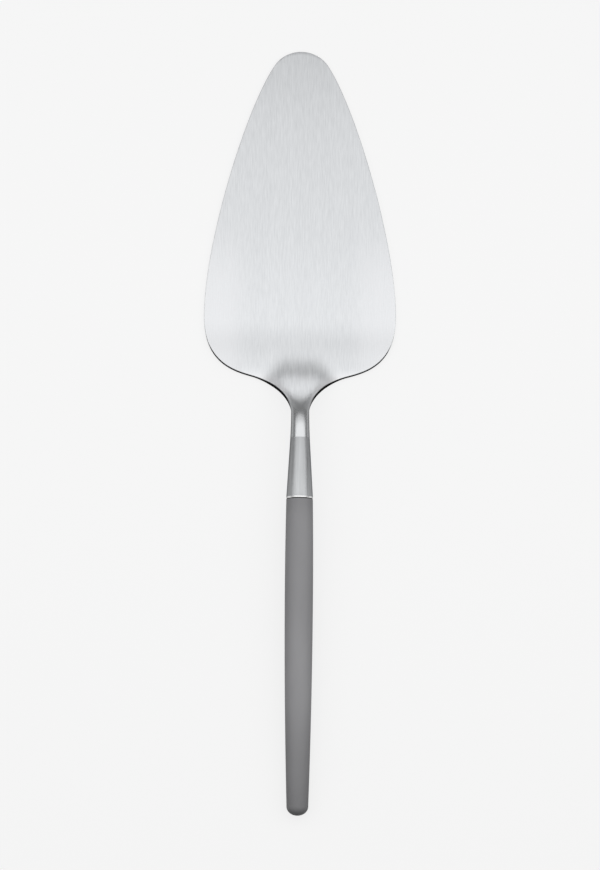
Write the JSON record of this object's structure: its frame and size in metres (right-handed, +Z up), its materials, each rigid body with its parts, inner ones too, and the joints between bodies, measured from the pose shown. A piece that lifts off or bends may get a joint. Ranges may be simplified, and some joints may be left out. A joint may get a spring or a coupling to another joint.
{
  "type": "cake server",
  "caption": "Spade-shaped steel cake server whose flat blade cranks up to a round neck and a slim tapered round handle.",
  "frame": {"origin": "middle of the object's length and width, on the surface that it lies on", "axes": "+Y towards the blade's nose, +X to the right seen from above with the handle near, +Z up off the table"},
  "size_m": [0.066, 0.2652, 0.0125],
  "materials": {
    "blade_steel": "brushed lengthwise",
    "neck_steel": "fine satin with a bright rim",
    "tang_steel": "plain drawn rod",
    "handle_plastic": "satin moulded",
    "cement": "cured cement"
  },
  "bodies": {
    "root": {"blade": "blade_steel", "neck": "neck_steel", "tang": "tang_steel", "handle": "handle_plastic", "adhesive": "cement"}
  },
  "joints": []
}
